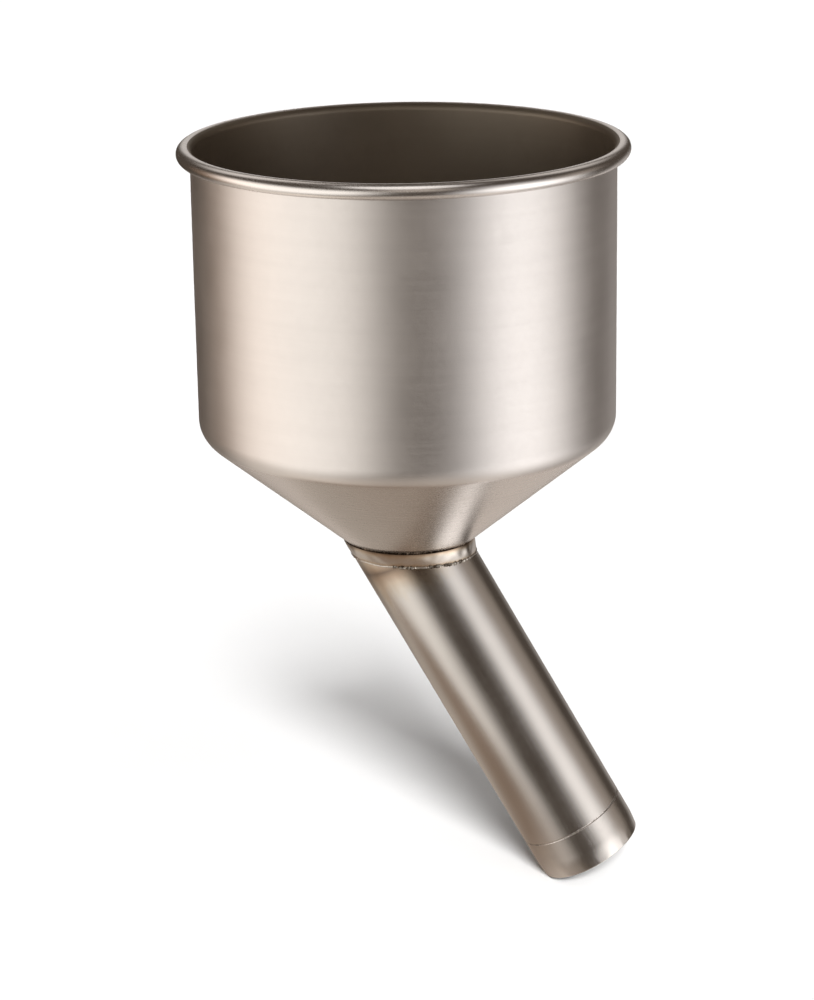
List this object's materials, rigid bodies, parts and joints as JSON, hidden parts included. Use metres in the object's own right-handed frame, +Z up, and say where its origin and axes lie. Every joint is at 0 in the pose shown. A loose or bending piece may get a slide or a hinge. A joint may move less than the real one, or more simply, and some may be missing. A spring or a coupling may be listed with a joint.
{
  "type": "canning funnel",
  "caption": "Stainless steel canning funnel: a deep straight-sided bowl with a wired rim and shallow cone, and a round slanted spout for filling jars.",
  "frame": {"origin": "centre of the spout's outlet, on the spout's axis", "axes": "+Z up along the bowl's axis, out of its mouth; the spout leans in the XZ plane, with its outlet on the +X side of the bowl"},
  "size_m": [0.2088, 0.2046, 0.3569],
  "materials": {
    "bowl_steel": "satin, with fine rings from spinning and polishing",
    "spout_steel": "satin tube, slightly shinier than the bowl",
    "collar_steel": "satin, with straw-coloured heat tint beside the welds",
    "weld_metal": "rough weld metal, brown and grey heat tint",
    "wire_steel": "drawn wire"
  },
  "bodies": {
    "root": {"bowl_shell": "bowl_steel", "rim_wire": "wire_steel", "neck_weld": "weld_metal", "neck_collar": "collar_steel", "spout_weld": "weld_metal", "spout_tube": "spout_steel", "outlet_seam": "weld_metal", "outlet_ring": "spout_steel"}
  },
  "joints": []
}
